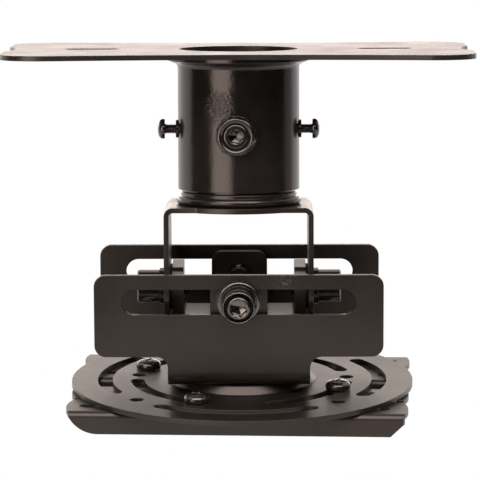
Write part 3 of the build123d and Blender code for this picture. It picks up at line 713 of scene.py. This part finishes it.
# %% Tilt and roll screws
BOLT_R, BOLT_PITCH, CAP_R, TILT_HEAD, ROLL_HEAD = 4.0 * MM, 1.25 * MM, 6.5 * MM, 9.0 * MM, 8.0 * MM
CAP_KEY, CAP_KEY_DEPTH, CAP_ROUND = 6.0 * MM, 4.0 * MM, 0.9 * MM
WASHER_R, WASHER_BORE, WASHER_ROUND = 8.3 * MM, 5.1 * MM, 0.6 * MM
SHOULDER_R, PLAY = 4.9 * MM, 0.1 * MM

for kind, side, joint, sign in (("tilt", "left", "pitch", -1), ("tilt", "right", "pitch", 1),
                                ("roll", "front", "roll", -1), ("roll", "rear", "roll", 1)):
    node = f"{kind}_screw_{side}"
    place = axis_place(JOINTS[joint]["pos_m"], Vector(JOINTS[joint]["axis"]) * sign, (0.3, 0.4, 1.0))
    tail, top = span(node, place)
    seat = top - (ROLL_HEAD if kind == "roll" else TILT_HEAD)
    ear = span(f"{kind}_friction_washer_{side}", place)[0] + PLAY
    if kind == "roll":
        low, rest = span(f"roll_washer_{side}", place)
        rows = collar_head(CAP_R, top, seat, CAP_KEY, CAP_KEY_DEPTH) + [(circle(BOLT_R), seat)]
        rows += [(circle(BOLT_R), rest), (circle(SHOULDER_R), rest), (circle(SHOULDER_R), ear)]
        disc = coin(WASHER_R, WASHER_BORE, low, rest, WASHER_ROUND)
        washer = stack(f"rounded_washer_{side}", disc, place, bored=True)
        stand_in(washer, f"roll_washer_{side}", PIN_STEEL)
    else:
        rows = cap_head(CAP_R, top, seat, CAP_KEY, CAP_KEY_DEPTH, CAP_ROUND) + [(circle(BOLT_R), seat)]
    rows += [(circle(BOLT_R), ear)] + thread(BOLT_R, BOLT_PITCH, ear, tail)[1:]
    stand_in(stack(f"threaded_{node}", rows, place), node, PIN_STEEL if kind == "roll" else STEEL)

# %% [markdown]
# ## Pivot bolt and arm screws
#
# The disc turns on a low-headed bolt that comes up through the yoke's base, and a lock nut holds it
# there. Four pan-head M5 screws pass down through the disc's arc slots and clamp the arms. Each cross
# recess is turned towards the disc's centre.

# %% Pivot bolt and arm screws
PIVOT_HEAD_R, PIVOT_HEAD_HEIGHT, PIVOT_ROUND = 8.0 * MM, 3.0 * MM, 0.9 * MM
PIVOT_KEY, PIVOT_KEY_DEPTH = 5.0 * MM, 1.6 * MM
ARM_R, ARM_PITCH, ARM_HEAD_R, ARM_HEAD_HEIGHT = 2.5 * MM, 0.8 * MM, 5.0 * MM, 3.3 * MM
hub = JOINTS["disc_swivel"]

place = axis_place(hub["pos_m"], -Vector(hub["axis"]), (1.0, 0.0, 0.0))
tail, top = span("pivot_bolt", place)
seat, nut_foot = top - PIVOT_HEAD_HEIGHT, span("pivot_lock_nut", place)[1]
rows = key_socket(PIVOT_KEY, top, PIVOT_KEY_DEPTH) + quarter_round(PIVOT_HEAD_R, top, PIVOT_ROUND)
rows += [(circle(PIVOT_HEAD_R), seat), (circle(BOLT_R), seat), (circle(BOLT_R), nut_foot)]
rows += thread(BOLT_R, BOLT_PITCH, nut_foot, tail)[1:]
stand_in(stack("threaded_pivot_bolt", rows, place), "pivot_bolt")

for name, joint in JOINTS.items():
    if name.startswith("arm_swing_"):
        node = name.replace("swing", "screw")
        outwards = Vector(joint["pos_m"]) - Vector(hub["pos_m"])
        place = axis_place(joint["pos_m"], joint["axis"], outwards)
        tail, top = span(node, place)
        seat = top - ARM_HEAD_HEIGHT
        rows = pan_dome(ARM_HEAD_R, top, seat) + thread(ARM_R, ARM_PITCH, seat, tail)
        stand_in(stack(f"threaded_{node}", rows, place), node)

# %% [markdown]
# ## The camera
#
# The photo was taken from a little over the plate, about 1.4 m away, with a long lens: the plate's far
# edge is hardly shorter than its near edge. The camera stands there and looks slightly down at the
# middle of the mount, so no lens shift is needed. It leans by a fifth of a degree, as the photo does.

# %% Camera
CAMERA_ROLL = -0.18
CAMERA_PLACE, CAMERA_AIM, CAMERA_LENS = (0.0084, -1.376, 0.0664), (0.0004, 0.0, -0.0764), 259.8
camera = bpy.data.objects.new("camera", bpy.data.cameras.new("camera"))
camera.data.lens = CAMERA_LENS
camera.location = CAMERA_PLACE
look = (Vector(CAMERA_AIM) - camera.location).to_track_quat("-Z", "Y").to_matrix()
camera.rotation_euler = (look @ Matrix.Rotation(math.radians(CAMERA_ROLL), 3, "Z")).to_euler()
bpy.context.collection.objects.link(camera)
bpy.context.scene.camera = camera
bpy.context.scene.view_settings.view_transform = "Standard"
print("camera at", tuple(camera.location), "lens", round(camera.data.lens, 1))

# %% [markdown]
# ## The white ground
#
# The mount hangs in front of a white sweep, so the picture's ground is pure white and a glossy coat
# shows that white in its reflections. The world is white for what the camera and the reflections see,
# and dimmer for the light it gives, so that black stays black. A pale floor lies below and keeps the
# mount's soft shadow. It fades out towards its edge, so that no corner of it shows from another side.

# %% World and floor
WHITE, PAPER = (1.0, 1.0, 1.0, 1.0), (0.82, 0.82, 0.82, 1.0)
FLOOR_LEVEL, FLOOR_HALF, FLOOR_CLEAR = -0.42, 0.9, 0.4


def seen_share(finish):
    """1 for a ray from the camera, a reflection or a clear piece, and 0 for plain light."""
    share = finish.node("ShaderNodeLightPath", out="Is Camera Ray")
    for ray in ("Is Glossy Ray", "Is Transmission Ray"):
        other = finish.node("ShaderNodeLightPath", out=ray)
        share = finish.node("ShaderNodeMath", {"operation": "MAXIMUM"}, {0: share, 1: other})
    return share


world = Finish(bpy.data.worlds.new("studio"))
bpy.context.scene.world = world.owner
sky = world.node("ShaderNodeBackground", None,
                 {"Color": WHITE, "Strength": 0.3 + seen_share(world) * 0.7})
world.node("ShaderNodeOutputWorld", None, {"Surface": sky})


def card(name, corners):
    """Flat or bent sheet of the stage from a grid of corner points."""
    build = bmesh.new()
    grid = [[build.verts.new(corner) for corner in row] for row in corners]
    for low, high in zip(grid, grid[1:]):
        for k in range(len(low) - 1):
            build.faces.new((low[k], low[k + 1], high[k + 1], high[k]))
    piece = linked(name, build)
    return piece


floor_finish = Finish(bpy.data.materials.new("pale_floor"))
paper = floor_finish.node("ShaderNodeBsdfDiffuse", None, {"Color": PAPER})
glow = floor_finish.node("ShaderNodeEmission", None, {"Color": WHITE, "Strength": 1.0})
shown = seen_share(floor_finish) * 0.7
mixed = floor_finish.node("ShaderNodeMixShader", None, {0: shown, 1: paper, 2: glow})
place = floor_finish.node("ShaderNodeTexCoord", out="Object")
away = distance(floor_finish, place, (0.0, 0.0, FLOOR_LEVEL))
gone = step(floor_finish, away, FLOOR_CLEAR, FLOOR_HALF)
clear = floor_finish.node("ShaderNodeBsdfTransparent")
faded = floor_finish.node("ShaderNodeMixShader", None, {0: gone, 1: mixed, 2: clear})
floor_finish.node("ShaderNodeOutputMaterial", None, {"Surface": faded})
ends = (-FLOOR_HALF, FLOOR_HALF)
floor = card("floor", [[(x, y, FLOOR_LEVEL) for x in ends] for y in ends])
floor.data.materials.append(floor_finish.owner)
print("floor at", FLOOR_LEVEL, "m")

# %% [markdown]
# ## Black cards and soft lamps
#
# A black tube has hardly any colour of its own: what shows on it is the room. A photographer shapes such
# a thing with black cards and soft boxes. Here a bent wall of black card stands round the front, out of
# the camera's sight, and leaves the tube's right half and its left band dark. Gauze carries it on at the
# right, a scrim behind warms the white that the flat tops show, and a small card close by darkens the
# upper part of the yoke's front plate. A soft box before the wall draws the broad stripe at the left. A
# long low lamp behind gives the bright tops, and a key lamp over the camera lights each rounded edge.

# %% Cards
WALL_R, WALL_RISE, WALL_COLUMNS = 2.2, (-13.0, 22.0), 24
FELT, WARM_WHITE = (0.004, 0.004, 0.004, 1.0), (1.0, 0.91, 0.85, 1.0)
NEAR_Y, NEAR_LOW, NEAR_HIGH, NEAR_SAG = -0.15, -0.132, -0.095, 3.0


def dark_card(name, corners, dark, tint=WHITE):
    """Card that only reflections see: black, or tinted gauze that lets some of the white through."""
    sheet = card(name, corners)
    sheet.visible_camera = False
    sheet.visible_diffuse = False
    sheet.visible_shadow = False
    sheet.visible_transmission = False
    finish = Finish(bpy.data.materials.new(name))
    felt = finish.node("ShaderNodeBsdfDiffuse", None, {"Color": FELT})
    gauze = finish.node("ShaderNodeBsdfTransparent", None, {"Color": tint})
    mixed = finish.node("ShaderNodeMixShader", None, {0: dark, 1: gauze, 2: felt})
    finish.node("ShaderNodeOutputMaterial", None, {"Surface": mixed})
    sheet.data.materials.append(finish.owner)


def bent_wall(start, end, rise=WALL_RISE):
    """Corners of a wall on an arc round the mount, by degrees from the camera and degrees over level."""
    rows = []
    for slope in rise:
        high = WALL_R * math.tan(math.radians(slope))
        row = []
        for j in range(WALL_COLUMNS + 1):
            side = math.radians(start + (end - start) * j / WALL_COLUMNS)
            row.append((WALL_R * math.sin(side), -WALL_R * math.cos(side), high))
        rows.append(row)
    return rows


dark_card("front_card", bent_wall(-101.0, 98.0), 1.0)
dark_card("right_gauze", bent_wall(98.0, 122.0), 0.62)
dark_card("warm_scrim", bent_wall(122.0, 238.0, (2.0, 70.0)), 0.0, WARM_WHITE)
columns = [0.02 * k for k in range(-5, 6)]
lower = [(x, NEAR_Y, NEAR_LOW - NEAR_SAG * x * x) for x in columns]
upper = [(x, NEAR_Y, NEAR_HIGH) for x in columns]
dark_card("near_card", [lower, upper], 1.0)

# %% Lamps
WARM, WARMER = (1.0, 0.93, 0.89), (1.0, 0.87, 0.80)


def lamp(name, place, aim, size, radiance, tint):
    """Soft rectangular lamp that faces its aim, as bright as a white card times its radiance."""
    light = bpy.data.lights.new(name, "AREA")
    light.shape = "RECTANGLE"
    light.size, light.size_y = size
    light.energy = radiance * math.pi * size[0] * size[1]
    light.color = tint
    holder = bpy.data.objects.new(name, light)
    holder.location = place
    holder.rotation_euler = (Vector(aim) - Vector(place)).to_track_quat("-Z", "Y").to_euler()
    holder.visible_camera = False
    bpy.context.collection.objects.link(holder)


lamp("left_soft_box", (-0.806, -1.265, 0.0), (0.0, 0.0, -0.04), (0.98, 0.8), 3.3, WARM)
lamp("back_strip", (-0.2, 1.6, 0.135), (0.0, 0.0, -0.05), (2.6, 0.37), 2.5, WARMER)
lamp("key_over_camera", (0.0, -0.92, 0.93), (0.0, 0.0, -0.10), (1.8, 0.95), 4.2, WARM)
